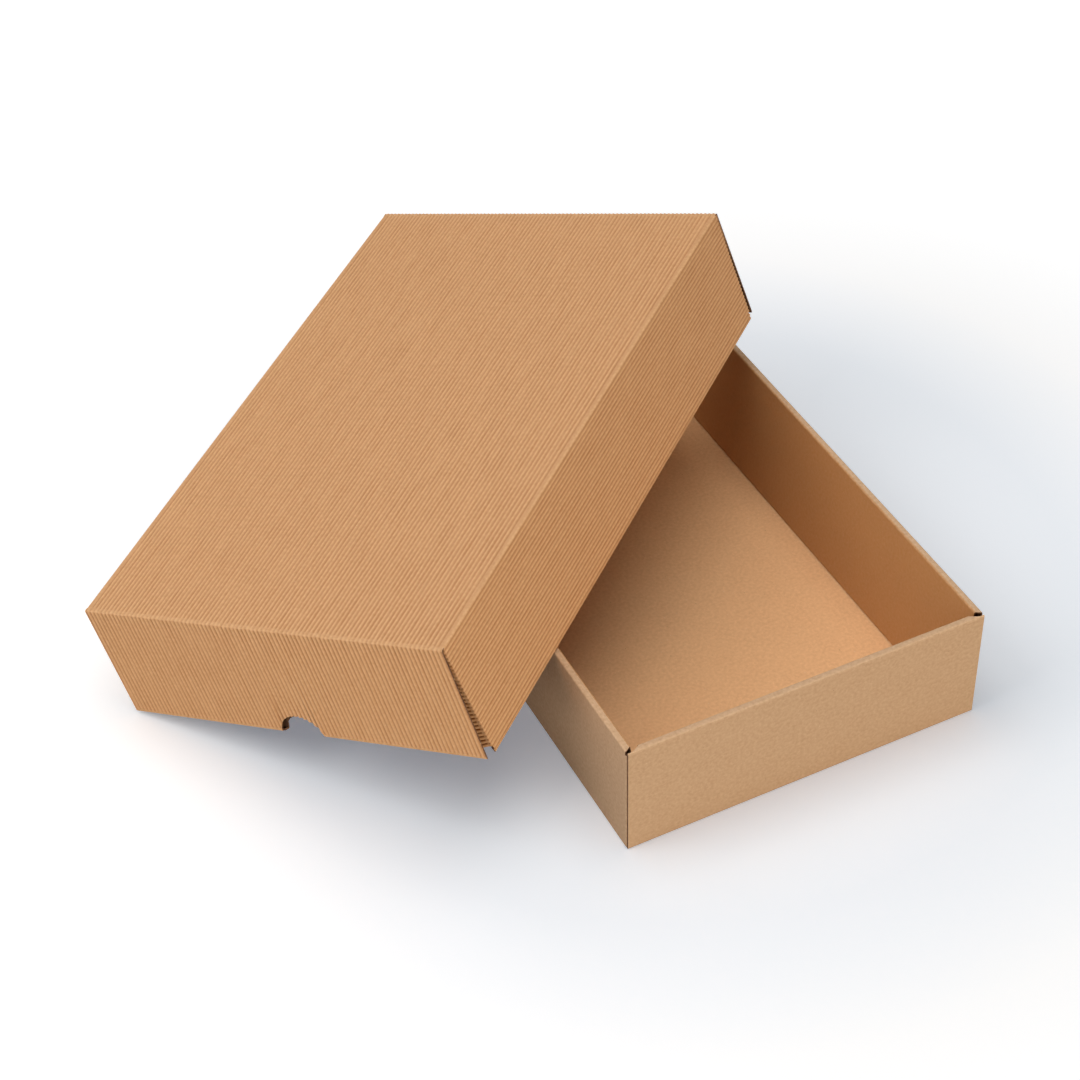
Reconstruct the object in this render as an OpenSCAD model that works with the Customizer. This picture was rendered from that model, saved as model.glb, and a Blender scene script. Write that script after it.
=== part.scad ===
// Corrugated kraft presentation box in two folded pieces. The open tray stands on its
// base. The lid, folded from board with its flutes open on the outside, lies turned and
// tilted across two of the tray's rims, with one corner on the surface beside the tray.

/* [Board] */
// Thickness of the corrugated board, from the flute crests to the inner liner
board = 1.45; // [1.2:0.05:1.8]
// Distance from one flute to the next
flute_pitch = 3.25; // [2.8:0.05:4]
// Depth of the open flutes between their crests
flute_depth = 0.85; // [0.5:0.05:1]
// How far a crease presses the flutes down
crush = 0.3; // [0.1:0.05:0.4]
// Outside radius of a crease
crease_r = 0.85; // [0.5:0.05:1]
// Room on each side of a corner tab inside its double wall
tab_slack = 0.2; // [0.1:0.05:0.5]

/* [Tray] */
// Outside width of the tray
tray_w = 263; // [200:1:400]
// Outside length of the tray
tray_l = 407; // [320:1:600]
// Outside height of the tray
tray_h = 89.3; // [60:0.1:130]
// How far the long inner panels have sprung in at the floor
lean = 10.5; // [0:0.5:14]

/* [Lid] */
// Room on each side of the tray when the lid is on
lid_slack = 6.75; // [3:0.05:12]
// Room between the tray's rims and the top of the closed lid
headroom = 2.6; // [0.5:0.1:5]
// Angle at which the near end wall has sprung out
flare_near = 4.2; // [0:0.1:5]
// Angle at which the far end wall has sprung out
flare_far = 0.9; // [0:0.1:3]
// How far the rims of the end walls stay short of those of the side walls
end_drop = 3.1; // [0:0.1:5]
// Radius of the thumb notch in each end wall
notch_r = 17.2; // [10:0.1:25]
// Depth of the notches from the rim
notch_depth = 15.6; // [8:0.1:30]

/* [Creases and tabs] */
// Width of the flat band that a crease across the flutes leaves
crease_band = 3.2; // [2.8:0.1:5]
// Width of the flat strip beside the long folds of the lid's top
edge_strip = 4.6; // [3.5:0.1:8]
// Width of the flat band that the rim folds leave on the panels
rim_band = 2.4; // [1.5:0.1:4]
// Room between the edges of two panels that meet at a corner
edge_gap = 0.5; // [0.2:0.1:1]
// Room between an inner panel's foot and the floor
foot_gap = 0.3; // [0.2:0.1:1]
// Length of the corner tabs
tab_len = 45; // [30:1:60]
// How far the corner tabs stop short of the rim
tab_short = 3; // [1:0.5:6]
// Distance from a side to the tray's inner end panels
tray_inset = 9.6; // [8:0.1:14]
// Distance from a side to the lid's inner end panels
lid_inset = 16; // [12:0.5:24]
// Distance from an end to the long inner panels
side_inset = 5.5; // [5:0.1:8]

/* [Resting place of the lid] */
// Angle between the tray's short side and the lid's length, from above
lid_turn = 38; // [30:0.1:45]
// Distance from the tray's front at which the lid crosses its side rim
cross_side = 104.6; // [90:0.1:130]
// Distance from the tray's side at which the lid crosses its back rim
cross_back = 189.4; // [170:0.1:210]
// Gap that keeps the resting pieces apart where they touch
seat_gap = 0.15; // [0.05:0.05:0.3]

/* [Hidden] */
KRAFT = "#c99f70";
KRAFT_FLUTED = "#d6a577";
$fn = 96;
wall = 3 * board + 2 * tab_slack;
lid_w = tray_w + 2 * (lid_slack + wall);
lid_l = tray_l + 2 * (lid_slack + wall);
lid_h = tray_h + board + headroom;
lid_end_h = lid_h - end_drop;
// Outline of one flute: where its points lie along the pitch, and how deep
RIB_ALONG = [0, 0.2, 0.5, 0.8];
RIB_DOWN = [1, 0.35, 0, 0.35];
BEND_STEPS = 3;
// Overlap that joins the stretches of one sheet
lap = 0.4;
panel_band = 1.6;
tab_face = board + tab_slack;
tab_fold = crease_r + crush + 1;
// Most that one group of the tab's flutes may stand out from the next
tab_step = 1.2;
// How much thinner the tab's board is than its fold, on the hidden side
tab_thin = 0.1;
// How far the fold's inner side stands proud of the end panel's
bead = 0.05;

function left(u) = [-u.y, u.x];
function unit(v) = v / norm(v);
function at_height(p, u, z) = p + u * ((z - p.y) / u.y);
function pressed(ribbed) = ribbed ? crush : 0;
function mirrored(points) = [for (i = [len(points) - 1:-1:0]) [-points[i].x, points[i].y]];

// A rounded turn to the left at corner k, from direction u1 to direction u2
function bend(k, u1, u2, r) =
    let (turn = acos(u1 * u2))
    let (start = k - u1 * r * tan(turn / 2))
    let (centre = start + left(u1) * r)
    [for (i = [0:BEND_STEPS])
        centre + r * (sin(turn * i / BEND_STEPS) * u1 - cos(turn * i / BEND_STEPS) * left(u1))];

// Flutes along the face from p to q, with flat strips left at both ends.
// The board lies to the left of the way from p to q.
function flutes(p, q, from, to, ribbed) =
    let (run = norm(q - p) - from - to)
    let (u = unit(q - p))
    let (count = max(1, round(run / flute_pitch)))
    let (pitch = run / count)
    !ribbed ? [] : concat(
        [p + u * (from - pitch / 4) + left(u) * crush],
        [for (i = [0:count - 1], k = [0:len(RIB_ALONG) - 1])
            p + u * (from + pitch * (i + RIB_ALONG[k])) + left(u) * flute_depth * RIB_DOWN[k]],
        [p + u * (from + run) + left(u) * flute_depth,
         p + u * (from + run + pitch / 4) + left(u) * crush]);

// Pitch at which the flutes divide the floor's width
function floor_pitch(w) =
    (w - 2 * edge_strip) / round((w - 2 * edge_strip) / flute_pitch);

// Section across the length: floor, side walls, rims and the inner panels rolled over them
function long_section(w, h, lean, ribbed) =
    let (c = pressed(ribbed))
    let (top = [w / 2 - wall, h])
    let (foot = [w / 2 - wall - lean, board + foot_gap])
    let (down = unit(foot - top))
    let (n = left(down))
    let (rim_in = at_height(top + n * c, down, h))
    let (half = concat(
        bend([w / 2 - c, c], [1, 0], [0, 1], crease_r),
        flutes([w / 2, 0], [w / 2, h], rim_band, rim_band, ribbed),
        bend([w / 2 - c, h], [0, 1], [-1, 0], crease_r),
        bend(rim_in, [-1, 0], down, crease_r),
        flutes(top, foot, rim_band, rim_band, ribbed),
        [foot + n * c,
         foot + n * board,
         at_height(top + n * board, down, h - board),
         [w / 2 - board, h - board],
         [w / 2 - board, board]]))
    concat(flutes([-w / 2, 0], [w / 2, 0], edge_strip, edge_strip, ribbed), half, mirrored(half));

// Plan of an end panel: its flutes run on from those of the floor, skip pitches further in
function end_plan(w, half, skip, ribbed) =
    let (c = pressed(ribbed))
    let (start = edge_strip + skip * floor_pitch(w))
    concat(
        [[-half, c]],
        flutes([-w / 2, 0], [w / 2, 0], start, start, ribbed),
        [[half, c], [half, board], [-half, board]]);

// Section of the fold from the floor into an end panel that stands out by the flare
function floor_fold(flare, ribbed) =
    let (c = pressed(ribbed))
    let (up = [sin(flare), cos(flare)])
    let (n = left(up))
    let (rise = (1 - sin(flare)) / cos(flare))
    let (reach = panel_band + lap)
    let (back = board + bead)
    concat(
        [[-crease_band - lap, c]],
        bend(n * c + up * c * rise, [1, 0], up, crease_r),
        [n * c + up * reach,
         n * back + up * reach,
         n * back + up * (board - back * sin(flare)) / cos(flare),
         [-crease_band - lap, board]]);

module across(width) {
    rotate([90, 0, 90])
        linear_extrude(width, center = true)
            children();
}

// One sheet folded into floor, side walls and end walls, with its rims upward
module folded_sheet(w, l, h, end_h, lean, flares, inset, ribbed, notch) {
    long_run(w, l, h, lean, ribbed);
    for (end = [0, 1])
        mirror([0, end, 0])
            translate([0, l / 2, 0]) {
                across(w - 2 * edge_gap)
                    polygon(floor_fold(flares[end], ribbed));
                rotate([-flares[end], 0, 0])
                    end_wall(w, end_h, inset, ribbed, notch);
                for (side = [0, 1])
                    mirror([side, 0, 0])
                        corner_tab(w, end_h - tab_short, inset, flares[end], ribbed);
            }
}

// Floor and double side walls in one run, their inner panels and rims cut back at the corners
module long_run(w, l, h, lean, ribbed) {
    difference() {
        rotate([90, 0, 0])
            linear_extrude(l - 2 * crease_band, center = true)
                polygon(long_section(w, h, lean, ribbed));
        for (end = [0, 1], side = [0, 1])
            mirror([0, end, 0])
                mirror([side, 0, 0])
                    translate([w / 2 - board, l / 2, board + foot_gap / 2])
                        linear_extrude(h)
                            polygon([
                                [0, 0],
                                [0, -crease_band - (side_inset - crease_band) * board / wall],
                                [board - wall, -side_inset],
                                [board - wall - lean - board, -side_inset],
                                [board - wall - lean - board, 0]]);
    }
}

// Double end wall: outer panel, rim and inner panel, drawn upright with its face at y = 0
module end_wall(w, h, inset, ribbed, notch) {
    c = pressed(ribbed);
    half = w / 2 - edge_gap;
    difference() {
        union() {
            translate([0, 0, panel_band])
                linear_extrude(h - rim_band - panel_band)
                    mirror([0, 1])
                        polygon(end_plan(w, half, -1, ribbed));
            across(2 * half)
                polygon(concat(
                    [[-c, h - rim_band - lap]],
                    bend([-c, h], [0, 1], [-1, 0], crease_r),
                    [[-board, h], [-board, h - rim_band - lap]]));
            intersection() {
                across(w)
                    polygon(concat(
                        [[-board / 2, h - board], [-board / 2, h]],
                        bend([c - wall, h], [-1, 0], [0, -1], crease_r),
                        [[c - wall, h - rim_band - lap],
                         [board - wall, h - rim_band - lap],
                         [board - wall, h - board]]));
                rim_mitre(w, h, inset);
            }
            translate([0, -wall, board + foot_gap])
                linear_extrude(h - rim_band - board - foot_gap)
                    polygon(end_plan(w, w / 2 - inset, ceil((inset - edge_strip) / floor_pitch(w)), ribbed));
        }
        if (notch > 0)
            translate([0, 0, h + notch - notch_depth])
                rotate([90, 0, 0])
                    cylinder(h = 4 * wall, r = notch, center = true);
    }
}

// Plan of the rim, cut at a slant at both ends
module rim_mitre(w, h, inset) {
    outer = w / 2 - edge_gap - 2 * board;
    inner = w / 2 - inset;
    linear_extrude(h + wall)
        polygon([
            [-outer, 0],
            [-inner, -wall],
            [-inner, -2 * wall],
            [inner, -2 * wall],
            [inner, -wall],
            [outer, 0]]);
}

// Tab that the side wall turns in behind the end panel. A flared end wall draws it out,
// the more the nearer to the rim, so each group of its flutes has its own direction.
module corner_tab(w, h, inset, flare, ribbed) {
    c = pressed(ribbed);
    base = board + foot_gap;
    root = w / 2 - tab_fold;
    swing = inset - tab_fold;
    count = ribbed ? round((h - base) / flute_pitch) : 1;
    pitch = (h - base) / count;
    group = flare > 0 ? min(count, max(1, round(tab_step / (pitch * sin(flare))))) : count;
    translate([0, 0, base])
        linear_extrude(h - base)
            polygon(concat(
                [[w / 2 - c, -crease_band - lap]],
                bend([w / 2 - c, -tab_face - c], [0, 1], [-1, 0], crease_r),
                [[root, -tab_face - c],
                 [root, -tab_face - board],
                 [w / 2 - board, -tab_face - board],
                 [w / 2 - board, -crease_band - lap]]));
    for (i = [0:group:count - 1]) {
        members = min(group, count - i);
        low = base + i * pitch;
        drawn = (low + members * pitch / 2) * sin(flare);
        reach = norm([swing, drawn]);
        translate([root + lap, tab_thin - tab_face - board, low])
            rotate([0, 0, -atan(drawn / swing)])
                translate([-reach / 2 - lap, 0, 0])
                    across(reach + 2 * lap)
                        polygon(tab_section(members, pitch, ribbed));
    }
    rotate([-flare, 0, 0])
        translate([w / 2 - inset - (tab_len - inset) / 2 + lap, -tab_face - board / 2, (h + base) / 2])
            cube([tab_len - inset + 2 * lap, board - 2 * c, h - base - 2 * board], center = true);
}

// Upright section of a few of the tab's flutes, or of its plain board
function tab_section(members, pitch, ribbed) = let (thick = board - tab_thin) concat(
    [[0, 0]],
    ribbed ?
        [for (i = [0:members - 1], rise = [0, 0.5])
            [rise > 0 ? thick : thick - flute_depth, pitch * (i + rise)]] :
        [[thick, 0]],
    [[ribbed ? thick - flute_depth : thick, pitch * members], [0, pitch * members]]);

module tray() {
    color(KRAFT)
        folded_sheet(tray_w, tray_l, tray_h, tray_h, lean, [0, 0], tray_inset, false, 0);
}

// The lid rests at three places: the inner edge of its right wall on the tray's side rim,
// the inner edge of its far end wall on the back rim, and its near left corner on the floor.
side_seat = [-tray_w / 2, cross_side - tray_l / 2, tray_h + seat_gap];
back_seat = [cross_back - tray_w / 2, tray_l / 2, tray_h + seat_gap];
seat_line = unit(back_seat - side_seat);

// Where the two inner edges lie in the lid's own axes, from the middle of the lid's top,
// and how far the far end wall's edge lies above that of the side wall
inner_corner = [
    lid_w / 2 - wall,
    lid_l / 2 + lid_end_h * sin(flare_far) - wall * cos(flare_far),
    -lid_h];
rim_step = lid_h - lid_end_h * cos(flare_far) - wall * sin(flare_far);
step_share = rim_step / norm(back_seat - side_seat);

// Outer corners that may touch the floor, of the near end wall and of the left side wall
foot_corners = [
    [edge_gap - lid_w / 2,
     -lid_l / 2 - lid_end_h * sin(flare_near) + crush,
     -lid_end_h * cos(flare_near)],
    [crush - lid_w / 2, crease_band - lid_l / 2, -lid_h]];

// The lid's axes when its top climbs by the given slope, square to the seat line
function lid_axes(slope) =
    let (drop = step_share * sqrt((1 + slope * slope) / (1 - step_share * step_share)))
    let (climb = slope * [seat_line.y, -seat_line.x] - drop * [seat_line.x, seat_line.y])
    let (up = unit([-climb.x, -climb.y, 1]))
    let (plan = [cos(lid_turn), sin(lid_turn)])
    let (along = unit([plan.x, plan.y, climb * plan]))
    [cross(along, up), along, up];
function from_axes(axes, p) = p.x * axes[0] + p.y * axes[1] + p.z * axes[2];
function corner_place(axes) = side_seat + ((back_seat - side_seat) * axes[1]) * axes[1];
function lid_place(axes) = corner_place(axes) - from_axes(axes, inner_corner);
function foot_height(slope) =
    let (axes = lid_axes(slope))
    min([for (corner = foot_corners) (lid_place(axes) + from_axes(axes, corner)).z]);

// Slope at which the lowest corner comes down to the floor, by halving the interval
function seated_slope(low, high, steps) =
    let (mid = (low + high) / 2)
    steps == 0 ? mid :
    foot_height(mid) > 0 ? seated_slope(mid, high, steps - 1) : seated_slope(low, mid, steps - 1);

module as_rested() {
    axes = lid_axes(seated_slope(0, 1, 40));
    place = lid_place(axes);
    multmatrix([
        [axes[0].x, axes[1].x, axes[2].x, place.x],
        [axes[0].y, axes[1].y, axes[2].y, place.y],
        [axes[0].z, axes[1].z, axes[2].z, place.z],
        [0, 0, 0, 1]])
        children();
}

module lid() {
    color(KRAFT_FLUTED)
        as_rested()
            rotate([0, 180, 0])
                folded_sheet(lid_w, lid_l, lid_h, lid_end_h, 0, [flare_far, flare_near], lid_inset, true,
                    notch_r);
}

tray();
lid();
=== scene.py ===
import math

import bmesh
import bpy
import numpy as np
from mathutils import Euler, Matrix, Vector


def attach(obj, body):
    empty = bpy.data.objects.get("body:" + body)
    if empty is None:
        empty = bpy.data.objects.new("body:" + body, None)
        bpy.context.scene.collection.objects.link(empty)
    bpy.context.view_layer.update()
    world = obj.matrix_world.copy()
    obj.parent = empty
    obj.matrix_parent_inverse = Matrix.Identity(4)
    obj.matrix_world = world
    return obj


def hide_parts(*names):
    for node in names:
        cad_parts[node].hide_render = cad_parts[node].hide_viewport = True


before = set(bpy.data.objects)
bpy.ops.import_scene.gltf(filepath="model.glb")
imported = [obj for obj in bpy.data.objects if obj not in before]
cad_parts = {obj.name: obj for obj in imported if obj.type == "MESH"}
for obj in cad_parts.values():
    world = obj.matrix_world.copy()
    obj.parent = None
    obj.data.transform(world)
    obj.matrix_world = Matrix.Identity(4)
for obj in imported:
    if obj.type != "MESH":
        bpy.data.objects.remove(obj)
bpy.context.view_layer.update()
scene = bpy.context.scene
scene.view_settings.view_transform = "Standard"

# Corrugated board
# Both halves of the box are die-cut from E-flute kraft board: a smooth liner glued to a
# fluted paper. A fold presses the flutes flat, and a cut leaves the board's edge bare.
# Lengths are in millimetres up to the finished mesh.
MM = 0.001
BOARD = 1.45
PITCH = 3.25
FLUTE_DEPTH = 0.85
FLUTE_STEPS = 5
FLUTE_SHARPNESS = 1.5
PRESSED = 0.3
CREASE_RADIUS = 0.85
CREASE_STEPS = 3
SOFT_REACH = (0.0, 0.45, 1.0)
SOFT_SHARE = (0.0, 0.6, 1.0)
MIDDLE_STEP = 36.0
PLAIN_STEP = 12.0
SHARP_ANGLE = math.radians(70)
WELD = 2e-6


class Sheet:
    """Board as pairs of points, one on each of its faces, and the cells between them."""

    def __init__(self):
        self.index = {}
        self.points = []
        self.cells = []

    def pair(self, outer, inner, groove_shade, fold, flat):
        """The number of a pair of points, which is one and the same where two fall together."""
        key = tuple(round(float(c), 3) for c in (*outer, *inner))
        if key not in self.index:
            self.index[key] = len(self.points)
            self.points.append((*outer, *inner, groove_shade, fold, *flat))
        return self.index[key]

    def patch(self, rows):
        """Adds a grid of pairs; where pairs fall together the cells shrink or drop out."""
        rows = [[self.pair(*point) for point in points] for points in rows]
        for near, far in zip(rows, rows[1:]):
            for corners in zip(near, near[1:], far[1:], far):
                cell = list(dict.fromkeys(corners))
                if len(cell) > 2:
                    self.cells.append(cell)

    def facing_out(self):
        """The cells, each turned so that its outer face looks away from its inner face."""
        points = np.array(self.points)
        found = []
        for cell in self.cells:
            outer, inner = points[cell, 0:3], points[cell, 3:6]
            normal = np.cross(outer[2] - outer[0], outer[-1] - outer[1])
            found.append(cell if normal @ (outer - inner).sum(axis=0) > 0 else cell[::-1])
        return found


def cut_edges(cells):
    """The cells' edges that only one cell uses: where the board was cut."""
    uses = {}
    for cell in cells:
        for a, b in zip(cell, cell[1:] + cell[:1]):
            uses.setdefault((min(a, b), max(a, b)), []).append((a, b))
    return [found[0] for found in uses.values() if len(found) == 1]


def left(u):
    """The direction a quarter turn to the left of another."""
    return np.array((-u[1], u[0]))


def row(face, dip, back, flute=0.0, soft=1.0, fold=0.0, creased=True):
    """A line of a section: its face, which way the flutes dip, and the point behind."""
    face, dip, back = (np.array(p, float) for p in (face, dip, back))
    return dict(face=face, dip=dip, back=back, flute=flute, soft=soft, fold=fold, creased=creased)


def bend(corner, inner, before, after, creased=True, raised=0.0, soft=1.0):
    """A rounded fold to the left, whose flutes stand out from it where it is raised."""
    before, after = np.array(before, float), np.array(after, float)
    turn = math.acos(float(before @ after))
    centre = corner - before * CREASE_RADIUS * math.tan(turn / 2) + left(before) * CREASE_RADIUS
    lines = []
    for i in range(CREASE_STEPS + 1):
        angle = turn * i / CREASE_STEPS
        out = math.sin(angle) * before - math.cos(angle) * left(before)
        face = centre + (CREASE_RADIUS + raised) * out
        lines.append(row(face, -out * (raised > 0), inner, soft=soft, fold=1.0, creased=creased))
    return lines


def straight(start, end, places, **kind):
    """Lines along a face of the section, at the given distances from its start."""
    start, end = np.array(start, float), np.array(end, float)
    way = (end - start) / np.linalg.norm(end - start)
    inward = left(way)
    return [row(start + way * at, inward, start + way * at + inward * BOARD, flute=flute, **kind)
            for at, flute in places]


def flute_at(phase):
    """Depth of a flute, which is deepest at whole numbers and has broad crests between."""
    return FLUTE_DEPTH * ((1 + math.cos(2 * math.pi * phase)) / 2) ** FLUTE_SHARPNESS


def flutes(length, start, end):
    """Places along a face and how deep it dips there, with flat strips left at both ends."""
    count = max(1, round((length - start - end) / PITCH))
    step = (length - start - end) / count
    places = [(start - step / 4, PRESSED)]
    for i in range(count * FLUTE_STEPS + 1):
        places.append((start + step * i / FLUTE_STEPS, flute_at(i / FLUTE_STEPS)))
    return places + [(length - end + step / 4, PRESSED)]


def between(start, end, step):
    """Evenly spaced places strictly between two others."""
    count = max(1, round((end - start) / step))
    return [start + (end - start) * i / count for i in range(1, count)]


def softened(start, end, at_start=True, at_end=True):
    """Places from start to end and how far the flutes have risen there out of a crease."""
    head = [(start + d, s) for d, s in zip(SOFT_REACH, SOFT_SHARE)] if at_start else [(start, 1.0)]
    tail = [(end - d, s) for d, s in zip(SOFT_REACH, SOFT_SHARE)] if at_end else [(end, 1.0)]
    return head + [(at, 1.0) for at in between(head[-1][0], tail[-1][0], MIDDLE_STEP)] + tail[::-1]


def runs(lines, start):
    """How far each line of a section lies along the flat sheet."""
    steps = [np.linalg.norm(b["face"] - a["face"]) for a, b in zip(lines, lines[1:])]
    return start + np.concatenate([[0.0], np.cumsum(steps)])


def dipped(line, soft, flute, press):
    """Where the fluted face lies, how deep it is from 0 to 1, and how much it is folded."""
    soft = soft * line["soft"]
    depth = press + (max(line["flute"], flute) - press) * soft
    groove_shade = depth if line["dip"].any() else press
    return line["face"] + line["dip"] * depth, groove_shade / FLUTE_DEPTH, max(line["fold"], 1.0 - soft)


# Folding the sheet
# Floor, side walls, rims and inner panels are one run of board. Each end wall folds up from
# the floor and over into its own inner panel, and the side walls turn in as corner tabs.
TAB_SLACK = 0.2
WALL = 3 * BOARD + 2 * TAB_SLACK
CREASE_BAND = 3.2
EDGE_STRIP = 4.6
RIM_BAND = 2.4
PANEL_BAND = 1.25
BAND_SHARE = 0.5
FOLD_SHARE = 0.6
EDGE_GAP = 0.5
FOOT_GAP = 0.9
SIDE_INSET = 5.5
TAB_LENGTH = 45
TAB_START = 0.6
TAB_SHORT = 3
TAB_FACE = BOARD + TAB_SLACK
TAB_FOLD = CREASE_RADIUS + PRESSED + 1
# Painted shade: how much darker the corner tabs and the faces hidden between panels are painted.
TAB_SHADE = 1.6
TAB_DIM = 0.5
HIDDEN_SHADE = 1.9
NOTCH_STEPS = (0.0, 2.2, 4.4)
NOTCH_SHARE = 0.83
NOTCH_BLEND = 24
NEAR = 0.12


def notch_chord(box):
    """Half the notch's width at the rim."""
    radius, depth = box["notch"]
    return math.sqrt(radius ** 2 - (radius - depth) ** 2)


def notch_top(box, at):
    """Height at which the end wall is cut there, by its rim or by the notch."""
    height = box["end_height"]
    if "notch" not in box or abs(at) >= notch_chord(box) - NEAR / 2:
        return height
    radius, depth = box["notch"]
    return height - math.sqrt(radius ** 2 - at ** 2) + radius - depth


def end_columns(box):
    """Places across an end wall and how deep the flutes are there, in step with the floor's."""
    half = box["width"] / 2
    reach = half - EDGE_GAP
    marks = [reach, half - BOARD, reach - 2 * BOARD, half - box["inset"]]
    if not box["press"]:
        plain = between(-reach, reach, PLAIN_STEP)
        return [(at, 0.0) for at in sorted([*marks, *(-at for at in marks), *plain])]
    marks += [math.sqrt(notch_chord(box) ** 2 - sag ** 2) for sag in NOTCH_STEPS]
    first = EDGE_STRIP - half
    pitch = -2 * first / round(-2 * first / PITCH)
    places = [first + pitch * i / FLUTE_STEPS for i in range(math.ceil(2 * half / pitch * FLUTE_STEPS))]
    places += [first - pitch * i / FLUTE_STEPS for i in range(1, 2 * FLUTE_STEPS)]
    clear = [at for at in places if abs(at) < reach and min(abs(abs(at) - m) for m in marks) > NEAR]
    return [(at, flute_at((at - first) / pitch)) for at in sorted([*clear, *marks, *(-m for m in marks)])]


def long_section(box):
    """Lines of the section from the floor's edge up the right wall, over its rim and down."""
    half, height, press = box["width"] / 2, box["height"], box["press"]
    top = np.array((half - WALL, height))
    foot = np.array((half - WALL - box["lean"], BOARD + FOOT_GAP))
    length = float(np.linalg.norm(foot - top))
    down = (foot - top) / length

    def level(point, z):
        """The point at that height on a line down the slanted inner panel."""
        return point + down * (z - point[1]) / down[1]

    def along(run):
        """Places up a panel and how deep it dips there, at every flute or at plain steps."""
        if press:
            return [(BOARD, press), *flutes(run, RIM_BAND, RIM_BAND)]
        tab_ends = [BOARD + FOOT_GAP, box["end_height"] - TAB_SHORT]
        return [(at, 0.0) for at in sorted([BOARD, *tab_ends, *between(0, run, PLAIN_STEP)])]

    high = np.array((half - BOARD, height - BOARD))
    back = level(top + left(down) * BOARD, height - BOARD)
    return (bend(np.array((half - press, press)), (half - BOARD, BOARD), (1, 0), (0, 1))
            + straight((half, 0), (half, height), along(height) + [(height - BOARD, press)])
            + bend(np.array((half - press, height)), high, (0, 1), (-1, 0))
            + bend(level(top + left(down) * press, height), back, (-1, 0), down, creased=False)
            + straight(top, foot, along(length) + [(length, press)], creased=False))


def flipped(line):
    """The same line on the other side."""
    turn = np.array((-1, 1))
    return {**line, "face": line["face"] * turn, "dip": line["dip"] * turn, "back": line["back"] * turn}


def long_run(sheet, box):
    """Floor and side walls with their inner panels, cut back at the corners."""
    half, press = box["width"] / 2, box["press"]
    floor = [(half + at, press if abs(at) > half - EDGE_STRIP + NEAR else flute)
             for at, flute in end_columns(box) if abs(at) < half - BOARD + NEAR]
    right = long_section(box)
    lines = [flipped(line) for line in reversed(right)] + straight((-half, 0), (half, 0), floor) + right
    ways = runs(lines, 0.0)
    reach = box["length"] / 2 - CREASE_BAND
    grid = []
    for line, way in zip(lines, ways):
        inward = half - abs(line["face"][0])
        mitred = not line["creased"] or line["face"][1] > box["height"] / 2 and inward > BOARD
        cut = (SIDE_INSET - CREASE_BAND) * min(inward / WALL, 1.0) if mitred else 0.0
        points = []
        for at, soft in softened(-reach, reach):
            y = max(cut - reach, min(reach - cut, at))
            soft = max(soft, BAND_SHARE) if line["dip"][1] and line["creased"] else 1.0
            face, groove_shade, fold = dipped(line, soft, 0.0, press)
            back, flat = line["back"], (way - ways[-1] / 2, y)
            points.append(((face[0], y, face[1]), (back[0], y, back[1]), groove_shade, fold, flat))
        grid.append(points)
    sheet.patch(grid)


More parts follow.
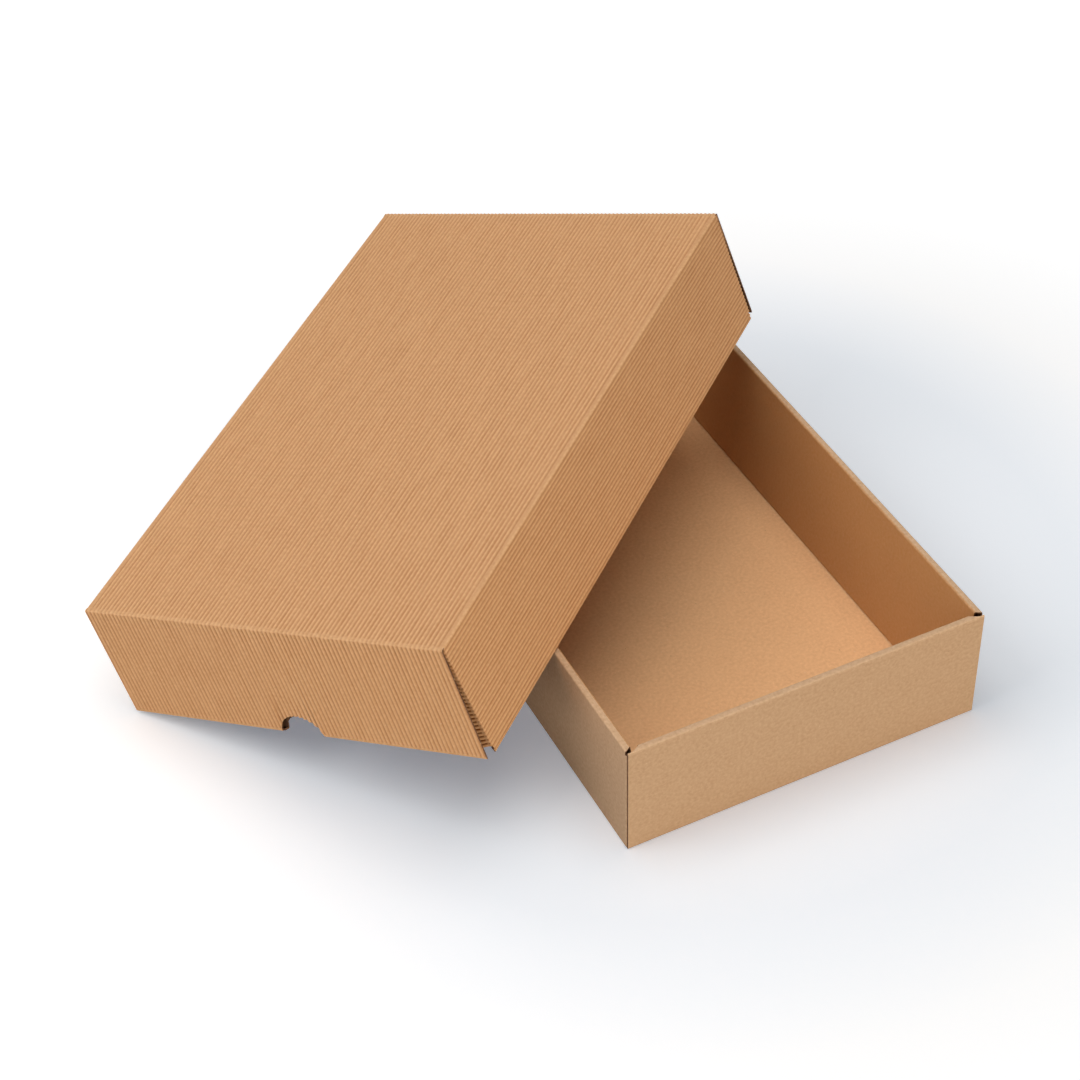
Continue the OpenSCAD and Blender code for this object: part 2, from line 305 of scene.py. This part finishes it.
def end_wall(sheet, box, flare, side):
    """Crease, outer panel, rim and inner panel, with a thumb notch through both panels."""
    half, press, height = box["width"] / 2, box["press"], box["end_height"]
    end, columns, rim = box["length"] / 2, end_columns(box), height - BOARD
    tilt = math.radians(flare)
    up = np.array((math.sin(tilt), math.cos(tilt)))
    inward = left(up)

    def upright(across, level):
        """A point so far in from the wall's outer face and so far up along it."""
        return inward * across + up * level

    def panel(across, dip, levels):
        """Lines up a panel whose face is so far in, and how far the flutes have risen there."""
        return [row(upright(across, v), dip, upright(across, v) + dip * BOARD, soft=soft)
                for v, soft in levels]

    corner = upright(BOARD, BOARD * (1 - up[0]) / up[1])
    outer = [row((-CREASE_BAND, 0), (0, 1), (-CREASE_BAND, BOARD), soft=BAND_SHARE)]
    outer += bend(upright(press, press * (1 - up[0]) / up[1]), corner, (1, 0), up,
                  raised=press, soft=FOLD_SHARE)
    outer += panel(0.0, inward, softened(PANEL_BAND, rim, at_start=False))
    outer += bend(upright(press, height), upright(BOARD, height - BOARD), up, inward)
    middle = row(upright(BOARD, height), (0, 0), upright(BOARD, height - BOARD), fold=0.5)
    inner = bend(upright(WALL - press, height), upright(WALL - BOARD, height - BOARD), inward, -up)
    inner += panel(WALL, -inward, reversed(softened(BOARD + FOOT_GAP, rim, at_start=False)))
    lines, count = outer + [middle] + inner, len(outer)
    ways = runs(lines, -CREASE_BAND)
    chord = notch_chord(box) if "notch" in box else 0.0
    for i, line in enumerate(lines):
        line["share"] = float(np.interp(i, (count - 1, count + 1), (1.0, NOTCH_SHARE)))

    def place(line, way, at, flute, limit, across):
        """A pair of points across the wall, drawn in by its mitre and cut by the notch."""
        drawn_in = min(abs(at), chord) * float(np.interp(abs(at), (chord, chord + NOTCH_BLEND), (1, 0)))
        x = at - math.copysign(drawn_in * (1 - line["share"]), at)
        x = max(-limit, min(limit, x))
        top = height - (height - notch_top(box, at)) * line["share"]
        flute = press if line is outer[0] and abs(at) > half - EDGE_STRIP + NEAR else flute
        face, groove_shade, fold = dipped(line, 1.0, flute, press)
        back = line["back"]
        if across is not None and top < height and max(face @ up, back @ up) > top:
            dip = inward if across == 0 else -inward
            soft = float(np.interp(rim - top, SOFT_REACH, SOFT_SHARE))
            face = upright(across, top) + dip * (press + (flute - press) * soft)
            back = upright(across, top) + dip * BOARD
            way = top if across == 0 else 2 * height + WALL - top
        return ((x, side * (end + face[0]), face[1]), (x, side * (end + back[0]), back[1]),
                groove_shade, fold, (x, side * (end + way)))

    wide, narrow = half - EDGE_GAP, half - box["inset"]
    for part, limit, across in ((slice(0, count), wide, 0), (slice(count + 1, None), narrow, WALL)):
        sheet.patch([[place(line, way, at, flute, limit, across) for at, flute in columns]
                     for line, way in zip(lines[part], ways[part])])
    mitre = wide - 2 * BOARD
    limits = (mitre, mitre + (narrow - mitre) * BOARD / WALL, narrow)
    for hand in (-1, 1):
        own = [(at, flute) for at, flute in columns if at * hand >= chord - NEAR / 2]
        sheet.patch([[place(line, way, at, flute, limit, None) for at, flute in own]
                     for line, way, limit in zip(lines[count - 1:], ways[count - 1:], limits)])


def corner_tab(sheet, box, flare, side, hand):
    """The side wall turned in behind the end wall, drawn out with it towards the rim."""
    half, press, end = box["width"] / 2, box["press"], box["length"] / 2
    top = box["end_height"] - TAB_SHORT + NEAR
    levels = [line for line in long_section(box)
              if line["creased"] and TAB_START <= line["face"][1] <= top]
    pivot = np.array((half - TAB_FOLD, -TAB_FACE - BOARD))
    swing = box["inset"] - TAB_FOLD
    fold = [row((half, -CREASE_BAND), (-1, 0), (half - BOARD, -CREASE_BAND))]
    fold += bend(np.array((half - press, -TAB_FACE - press)), (half - BOARD, pivot[1]), (0, 1), (-1, 0),
                 raised=press, soft=FOLD_SHARE)
    grid = []
    for line in levels:
        level, straight_up = line["face"][1], line["dip"].any()
        depth = line["flute"] if straight_up else press
        shift = 0.0 if straight_up else half - press - line["face"][0]
        drawn = level * math.sin(math.radians(flare))
        reach = math.hypot(swing, drawn)
        way_in = np.array((-swing, drawn)) / reach
        out = -left(way_in)
        lines = fold + [row(pivot + way_in * at + out * BOARD, -out, pivot + way_in * at, soft=soft)
                        for at, soft in softened(PRESSED, reach, at_end=False)]
        hidden = pivot + way_in * reach
        lines += [row(hidden + (-at, BOARD), (0, -1), hidden - (at, 0))
                  for at in (2 * BOARD, TAB_LENGTH - box["inset"])]
        points = []
        for piece, way in zip(lines, runs(lines, -CREASE_BAND)):
            face, groove_shade, folded = dipped(piece, 1.0, depth, press)
            back = piece["back"]
            # Painted shade: past its fold the tab is painted darker, for the shade it lies in behind the
            # end wall.
            groove_shade = groove_shade if len(points) < 2 else groove_shade * TAB_SHADE + TAB_DIM
            points.append(((hand * (face[0] - shift), side * (end + face[1]), level),
                           (hand * back[0], side * (end + back[1]), line["back"][1]),
                           groove_shade, folded, (hand * (half + level), side * (end + way))))
        grid.append(points)
    sheet.patch(grid)


def folded(name, box, place):
    """The whole sheet folded with its rims upward, as a closed mesh put in its place."""
    sheet = Sheet()
    long_run(sheet, box)
    for side, flare in ((1, box["flare_far"]), (-1, box["flare_near"])):
        end_wall(sheet, box, flare, side)
        for hand in (-1, 1):
            corner_tab(sheet, box, flare, side, hand)
    points, cells = np.array(sheet.points), sheet.facing_out()
    edges, count = cut_edges(cells), len(points)
    faces = cells + [[i + count for i in reversed(cell)] for cell in cells]
    faces += [[b, a, a + count, b + count] for a, b in edges]
    corners = np.vstack([points[:, 0:3], points[:, 3:6]])
    corners = np.hstack([corners, np.ones((2 * count, 1))]) @ np.array(place).T[:, :3] * MM
    mesh = bpy.data.meshes.new(name)
    mesh.from_pydata(corners.tolist(), [], faces)
    slots = np.repeat([0, 1, 2], [len(cells), len(cells), len(edges)])
    mesh.polygons.foreach_set("material_index", slots.astype(np.int32))
    # Painted shade: faces of the sheet's inner side that lie up between the panels are painted dark.
    hollow_shade = HIDDEN_SHADE * (points[:, 5] > 2 * BOARD)
    for title, outer, inner in (("groove_shade", points[:, 6], hollow_shade), ("fold", points[:, 7], 0 * hollow_shade)):
        shades = mesh.attributes.new(title, "FLOAT", "POINT")
        shades.data.foreach_set("value", np.concatenate([outer, inner]))
    flat = np.hstack([points[:, 8:10] * MM, np.zeros((count, 1))])
    places = mesh.attributes.new("flat", "FLOAT_VECTOR", "POINT")
    places.data.foreach_set("vector", np.tile(flat, (2, 1)).ravel())
    whole = bmesh.new()
    whole.from_mesh(mesh)
    bmesh.ops.remove_doubles(whole, verts=whole.verts, dist=WELD)
    for face in whole.faces:
        face.smooth = True
    for edge in whole.edges:
        edge.smooth = len(edge.link_faces) == 2 and edge.calc_face_angle() < SHARP_ANGLE
    whole.to_mesh(mesh)
    whole.free()
    made = bpy.data.objects.new(name, mesh)
    scene.collection.objects.link(made)
    return made


# Kraft paper
# Both papers are unbleached kraft: warm brown, clouded, flecked and dull. A fold scuffs them
# paler, and shade sits in the open flutes. The sizes are millimetres, matched: a real
# fibre is about 0.03 mm wide, too fine to show, and is drawn coarser.
CLOUD = 16.67
MOTTLE = 2.38
FIBRE = 0.769
DARK_FLECK = 0.4
DARK_FLECKS_APART = 5.88
PALE_FLECK = 0.5
PALE_FLECKS_APART = 4.525
FLUTE_STREAK = 4.17
TORN_FIBRE = 2.0
TORN_TUFT = 0.8
TORN_TUFTS_APART = 3.33
PAPER_ROUGHNESS = 0.82
PAPER_GLOSS = 0.25
BUMP_STRENGTH = 0.6


def colour(code):
    """An sRGB hex colour as the linear one that a shader takes."""
    parts = [int(code[i:i + 2], 16) / 255 for i in (0, 2, 4)]
    return (*(c / 12.92 if c <= 0.04045 else ((c + 0.055) / 1.055) ** 2.4 for c in parts), 1.0)


def add(tree, kind, sockets, **settings):
    """Adds a node, sets it, and gives each socket a value or another node's output."""
    made = tree.nodes.new("ShaderNode" + kind)
    for name, value in settings.items():
        setattr(made, name, value)
    for key, value in sockets.items():
        if isinstance(value, bpy.types.Node):
            value = value.outputs[0]
        if isinstance(value, bpy.types.NodeSocket):
            tree.links.new(value, made.inputs[key])
        else:
            made.inputs[key].default_value = value
    return made


def noise(tree, where, size, stretch=(1, 1, 1), detail=3.0):
    """Noise from 0 to 1, of the given size in millimetres, with its middle values spread out."""
    moved = add(tree, "Mapping", {"Vector": where, "Scale": stretch})
    cloud = add(tree, "TexNoise", {"Vector": moved, "Scale": 1 / (size * MM), "Detail": detail})
    return add(tree, "MapRange", {"Value": cloud.outputs[0], "From Min": 0.3, "From Max": 0.7})


def specks(tree, where, size, apart, share):
    """Round flecks from 0 to 1, in a share of the places that lie so many millimetres apart."""
    cells = add(tree, "TexVoronoi", {"Vector": where, "Scale": 1 / (apart * MM)})
    near = add(tree, "MapRange", {"Value": cells.outputs["Distance"], "From Min": size / apart,
                                  "From Max": size / apart / 3})
    parts = add(tree, "SeparateColor", {"Color": cells.outputs["Color"]})
    chosen = add(tree, "Math", {0: parts.outputs[0], 1: 1 - share}, operation="GREATER_THAN")
    return add(tree, "Math", {0: near, 1: chosen}, operation="MULTIPLY")


def tinted(tree, under, over, factor, strength=1.0):
    """One colour laid over another, by a factor."""
    share = add(tree, "Math", {0: factor, 1: strength}, operation="MULTIPLY")
    return add(tree, "MixRGB", {"Fac": share, "Color1": under, "Color2": over})


def shaded(tree, paint, height, roughness, depth):
    """The surface itself, with a bump as deep as its fibres stand out."""
    bump = add(tree, "Bump", {"Height": height, "Strength": BUMP_STRENGTH, "Distance": depth * MM})
    surface = add(tree, "BsdfPrincipled", {"Base Color": paint, "Roughness": roughness,
                                           "Specular IOR Level": PAPER_GLOSS, "Normal": bump})
    add(tree, "OutputMaterial", {"Surface": surface})


def new_material(name):
    """An empty material and its nodes."""
    made = bpy.data.materials.new(name)
    made.use_nodes = True
    made.node_tree.nodes.clear()
    return made, made.node_tree


def paper(name, dark, light, worn, groove_shade=None, inside=None):
    """Kraft paper between two tones, paler where it is folded, with painted shade down in its flutes.

    Beyond a distance from the sheet's middle line, its inner panels are painted darker and more golden:
    painted shade and warm light bounced from the floor.
    """
    made, tree = new_material(name)
    where = add(tree, "Attribute", {}, attribute_name="flat").outputs["Vector"]
    cloud = noise(tree, where, CLOUD)
    mottle = noise(tree, where, MOTTLE)
    fibre = noise(tree, where, FIBRE, (1, 0.5, 1))
    paint = tinted(tree, colour(dark), colour(light), mottle)
    paint = tinted(tree, paint, colour(light), cloud, 0.3)
    paint = tinted(tree, paint, colour(dark), fibre, 0.4)
    dark_flecks = specks(tree, where, DARK_FLECK, DARK_FLECKS_APART, 0.16)
    paint = tinted(tree, paint, colour("7a5232"), dark_flecks, 0.7)
    pale_flecks = specks(tree, where, PALE_FLECK, PALE_FLECKS_APART, 0.12)
    paint = tinted(tree, paint, colour("e9cfae"), pale_flecks, 0.5)
    # Painted shade: the paper is painted darker down in the flutes, as deep as the groove_shade attribute
    # says.
    if groove_shade:
        deep = add(tree, "Attribute", {}, attribute_name="groove_shade").outputs["Fac"]
        streak = noise(tree, where, FLUTE_STREAK, (1, 0.12, 1), detail=1.0)
        uneven = add(tree, "MapRange", {"Value": streak, "To Min": 0.6, "To Max": 1.0})
        filled = add(tree, "Math", {0: deep, 1: uneven}, operation="MULTIPLY")
        paint = tinted(tree, paint, colour(groove_shade), filled, 0.6)
        # Painted shade: where the value passes 1, on the corner tabs and on faces hidden between panels,
        # the paper is painted near black-brown.
        hollow_shade = add(tree, "Math", {0: deep, 1: 1.0}, operation="SUBTRACT", use_clamp=True)
        paint = tinted(tree, paint, colour("2e1808"), hollow_shade, 0.65)
    if inside:
        shade, reach = inside
        across = add(tree, "SeparateXYZ", {0: where})
        distance = add(tree, "Math", {0: across}, operation="ABSOLUTE")
        painted_bounce_mask = add(tree, "Math", {0: distance, 1: reach * MM}, operation="GREATER_THAN")
        paint = tinted(tree, paint, colour(shade), painted_bounce_mask, 0.6)
    crease = add(tree, "Attribute", {}, attribute_name="fold").outputs["Fac"]
    scuffed = add(tree, "Math", {0: crease, 1: mottle}, operation="MULTIPLY")
    paint = tinted(tree, paint, colour(worn), scuffed, 0.25)
    shaded(tree, paint, fibre, PAPER_ROUGHNESS, 0.06)
    return made


def raw_edge(name):
    """The board cut through: three thin papers, dark between them, with torn pale fibres."""
    made, tree = new_material(name)
    where = add(tree, "TexCoord", {}).outputs["Object"]
    torn = noise(tree, where, TORN_FIBRE)
    # Partly painted shade: the dark tone is the cut board's own in part, and stands in for the shade in
    # its open flutes and on the edge.
    paint = tinted(tree, colour("4e3024"), colour("a67b55"), torn, 0.5)
    tufts = specks(tree, where, TORN_TUFT, TORN_TUFTS_APART, 0.2)
    paint = tinted(tree, paint, colour("d8b48a"), tufts, 0.7)
    shaded(tree, paint, torn, 0.9, 0.2)
    return made


# Tray
# The tray stands open on its base. It has smooth board, and its long inner panels have
# sprung in at the floor.
# The smooth liner is calendered kraft: an even, greyish brown. On the inner panels it is painted darker
# and more golden, as painted shade and warm bounce light.
liner = paper("kraft_liner", "b99572", "ccaa88", "dcbb99", inside=("b8782c", 224))
# The sheet's other side is rougher and warmer, and is painted dark with shade in the hollows of the
# corners.
# Partly painted light: this side is also painted brighter than the outer liner, for the light on the
# tray's floor.
liner_back = paper("kraft_liner_inside", "d9a778", "ebbb88", "ecc79c", groove_shade="4e2c14")
# The die leaves the board's edge open: rough, with pale torn fibres, and darker, partly as painted shade
# for its open flutes and its shadow.
cut_board = raw_edge("cut_board")
TRAY = dict(width=263, length=407, height=89.3, end_height=89.3, lean=10.5, press=0.0,
            inset=9.6, flare_near=0.0, flare_far=0.0)
tray = folded("tray_sheet", TRAY, Matrix.Identity(4))
for material in (liner, liner_back, cut_board):
    tray.data.materials.append(material)
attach(tray, "root")
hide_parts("tray")

# Lid
# The lid is a larger sheet of the same kind, with its flutes open on the outside. It leans
# on two of the tray's rims and on one of its own corners, and its end walls have sprung out.
# The fluting paper is formed by hot rolls: warm pale crests, with painted reddish brown shade down in the
# flutes between them.
fluted = paper("fluted_kraft", "ce9d6e", "dfb082", "e4bf94", groove_shade="94500f")
LID = dict(width=286, length=430, height=93.35, end_height=90.25, lean=0.0, press=PRESSED,
           inset=16, flare_near=4.2, flare_far=0.9, notch=(17.2, 15.6))
# The directions of the lid's sides and the middle of its top, as the lid's solid has them.
LID_ACROSS = Vector((0.5669614, -0.7722928, 0.2865636))
LID_ALONG = Vector((0.7840884, 0.612597, 0.0996512))
LID_UP = Vector((-0.2525079, 0.1681928, 0.9528646))
LID_TOP = (-137.7266, 98.3607, 150.9487)
turned = Matrix((-LID_ACROSS, LID_ALONG, -LID_UP)).transposed()
lid = folded("lid_sheet", LID, Matrix.Translation(LID_TOP) @ turned.to_4x4())
for material in (fluted, liner_back, cut_board):
    lid.data.materials.append(material)
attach(lid, "root")
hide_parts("lid")

# Floor, lamp and camera
# A seamless white surface under broad soft lamps. The two low lamps light only the box, so
# that its shadow on the floor stays grey. The camera is where the photo was taken from.
FLOOR_HALF = 10
GLOW_FROM = 0.3
GLOW_TO = 1.6
GLOW_NEAR = 0.23
GLOW_FAR = 1.2
ROOM_LIGHT = 0.22
ground = bpy.data.meshes.new("studio_floor")
corners = [(-FLOOR_HALF, -FLOOR_HALF, 0), (FLOOR_HALF, -FLOOR_HALF, 0),
           (FLOOR_HALF, FLOOR_HALF, 0), (-FLOOR_HALF, FLOOR_HALF, 0)]
ground.from_pydata(corners, [], [(0, 1, 2, 3)])
floor = bpy.data.objects.new("studio_floor", ground)
scene.collection.objects.link(floor)
# Matt white paint. To the camera it is a little brighter, and pure white away from the box.
# Near the box its glow is a painted pale blue, which cools the warm light bounced into the box's shadow.
white, tree = new_material("studio_white")
pale = add(tree, "BsdfDiffuse", {"Color": colour("ececec")})
bright = add(tree, "BsdfDiffuse", {"Color": colour("ffffff")})
distance = add(tree, "VectorMath", {0: add(tree, "TexCoord", {}).outputs["Object"]}, operation="LENGTH")
away = add(tree, "MapRange", {"Value": distance.outputs["Value"], "From Min": GLOW_FROM,
                              "From Max": GLOW_TO})
strength = add(tree, "MapRange", {"Value": away, "To Min": GLOW_NEAR, "To Max": GLOW_FAR})
tint = tinted(tree, colour("d6eaff"), colour("ffffff"), away, 12)
glow = add(tree, "Emission", {"Color": tint, "Strength": strength})
rays = add(tree, "LightPath", {})
lit = add(tree, "AddShader", {0: bright, 1: glow})
shown = add(tree, "Math", {0: rays.outputs["Is Camera Ray"], 1: rays.outputs["Is Glossy Ray"]})
shown = add(tree, "Math", {0: shown, 1: rays.outputs["Is Transmission Ray"]}, use_clamp=True)
seen = add(tree, "MixShader", {0: shown, 1: pale, 2: lit})
add(tree, "OutputMaterial", {"Surface": seen})
ground.materials.append(white)

world = bpy.data.worlds.new("studio")
scene.world = world
world.use_nodes = True
tree = world.node_tree
tree.nodes.clear()
room = add(tree, "Background", {"Color": colour("ffffff"), "Strength": ROOM_LIGHT})
backdrop = add(tree, "Background", {"Color": colour("ffffff"), "Strength": 1.0})
rays = add(tree, "LightPath", {})
seen = add(tree, "MixShader", {0: rays.outputs["Is Camera Ray"], 1: room, 2: backdrop})
add(tree, "OutputWorld", {"Surface": seen})


def soft_lamp(name, place, size, energy, shade, lit_only=None):
    """A round soft lamp aimed at the box, whose light may be kept to a few objects."""
    lamp = bpy.data.lights.new(name, "AREA")
    lamp.shape = "DISK"
    lamp.size = size
    lamp.energy = energy
    lamp.color = colour(shade)[:3]
    made = bpy.data.objects.new(name, lamp)
    made.location = place
    made.rotation_euler = (AIM - made.location).to_track_quat("-Z", "Y").to_euler()
    if lit_only:
        made.light_linking.receiver_collection = lit_only
    scene.collection.objects.link(made)


AIM = Vector((-0.1, 0.05, 0.1))
box_only = bpy.data.collections.new("box_only")
for sheet in (tray, lid):
    box_only.objects.link(sheet)
soft_lamp("behind", (-0.7, 0.9, 2.0), 1.2, 5.5, "ffffff")
soft_lamp("overhead", (0, 0, 2.4), 2.0, 15, "ffffff")
soft_lamp("left", (-1.3, 0.1, 1.5), 1.2, 10, "ffffff")
soft_lamp("front", (0.1, -1.9, 0.5), 0.9, 18, "fff1db", box_only)
soft_lamp("low_left", (-1.9, -0.5, 0.4), 0.7, 4.5, "ffffff", box_only)

lens = bpy.data.cameras.new("camera")
lens.sensor_width = 36
lens.lens = 82.187
camera = bpy.data.objects.new("camera", lens)
camera.location = (-0.616608, -1.111502, 1.212186)
camera.rotation_euler = Euler([math.radians(a) for a in (47.51095, 1.33256, -26.57090)])
scene.collection.objects.link(camera)
scene.camera = camera
